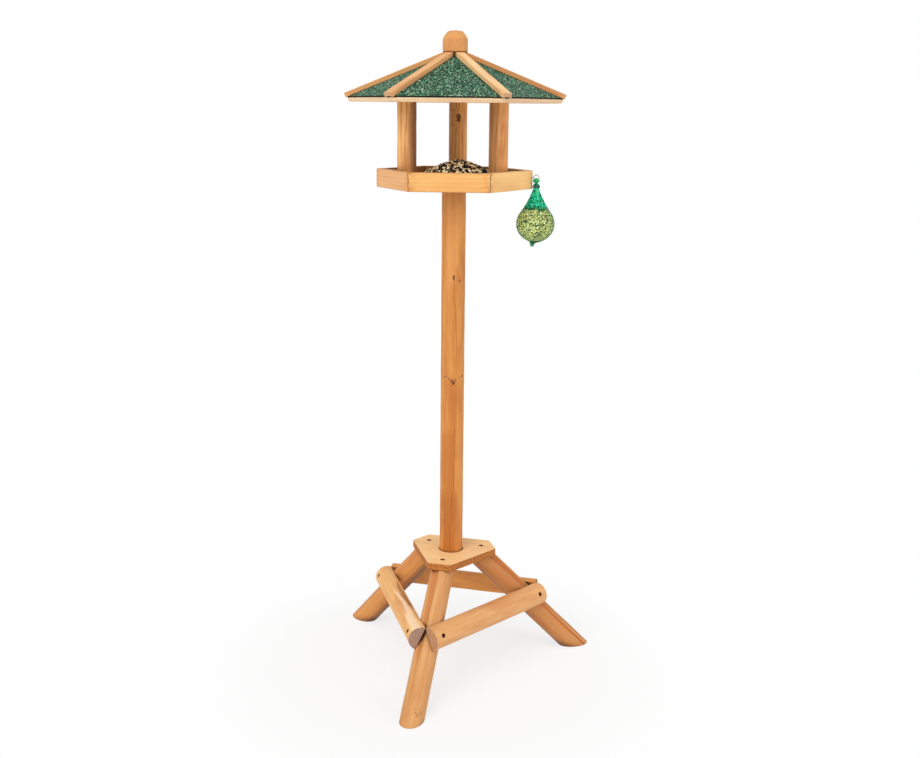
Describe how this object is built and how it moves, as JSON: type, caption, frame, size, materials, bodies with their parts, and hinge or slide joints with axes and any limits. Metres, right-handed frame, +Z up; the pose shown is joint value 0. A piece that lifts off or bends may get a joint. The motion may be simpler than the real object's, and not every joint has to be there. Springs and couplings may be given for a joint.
{
  "type": "bird table",
  "caption": "Roofed hexagonal feeding tray on a round pole, carried by a raked log tripod tied by half-round rails, with a netted fat ball hung from a screw eye at a tray corner.",
  "frame": {"origin": "on the ground, under the middle of the table's outline; the pole's axis is about 46 mm behind it", "axes": "+Z up along the pole; the front leg points towards -Y; the corner with the fat ball is 11 degrees round from +X towards +Y"},
  "size_m": [0.4606, 0.4362, 1.0893],
  "materials": {
    "log": "oiled, satin",
    "board": "oiled, satin",
    "ply": "plywood, rough edges",
    "felt": "mineral granules",
    "steel": "zinc plated",
    "net": "knitted plastic net",
    "clip": "matte",
    "fat": "waxy",
    "seed": "loose grains"
  },
  "bodies": {
    "table": {"leg_front": "log", "leg_right": "log", "leg_left": "log", "plate_screw_front": "steel", "plate_screw_right": "steel", "plate_screw_left": "steel", "rail_front_right": "log", "rail_rear": "log", "rail_front_left": "log", "rail_front_right_screw_a": "steel", "rail_front_right_screw_b": "steel", "rail_rear_screw_a": "steel", "rail_rear_screw_b": "steel", "rail_front_left_screw_a": "steel", "rail_front_left_screw_b": "steel", "seat_screw_1": "steel", "seat_screw_2": "steel", "seat_screw_3": "steel", "base_plate": "ply", "pole_seat": "ply", "pole": "log", "pole_foot_screw": "steel", "tray_floor": "ply", "pole_top_screw": "steel", "rim_board_1": "board", "rim_board_2": "board", "rim_board_3": "board", "rim_board_4": "board", "rim_board_5": "board", "rim_board_6": "board", "post_rear": "log", "post_left": "log", "post_right": "log", "post_rear_foot_screw": "steel", "post_left_foot_screw": "steel", "post_right_foot_screw": "steel", "post_rear_top_screw": "steel", "post_left_top_screw": "steel", "post_right_top_screw": "steel", "roof_panel_1": "ply", "roof_panel_2": "ply", "roof_panel_3": "ply", "roof_panel_4": "ply", "roof_panel_5": "ply", "roof_panel_6": "ply", "roof_felt": "felt", "hip_batten_1": "board", "hip_batten_2": "board", "hip_batten_3": "board", "hip_batten_4": "board", "hip_batten_5": "board", "hip_batten_6": "board", "roof_cap": "board", "seed_heap": "seed", "screw_eye": "steel"},
    "knot": {"net_knot": "net"},
    "ball": {"net_bag": "net", "net_clip": "clip", "net_tail": "net", "fat_ball": "fat"}
  },
  "joints": [
    {"name": "out_swing", "type": "hinge", "parent": "table", "child": "knot", "pos_m": [0.13272, 0.07137, 0.8585], "axis": [0.1908, -0.9816, 0], "range_deg": [0, 60]},
    {"name": "side_swing", "type": "hinge", "parent": "knot", "child": "ball", "pos_m": [0.13272, 0.07137, 0.853], "axis": [0.9816, 0.1908, 0], "range_deg": [-60, 60]}
  ]
}
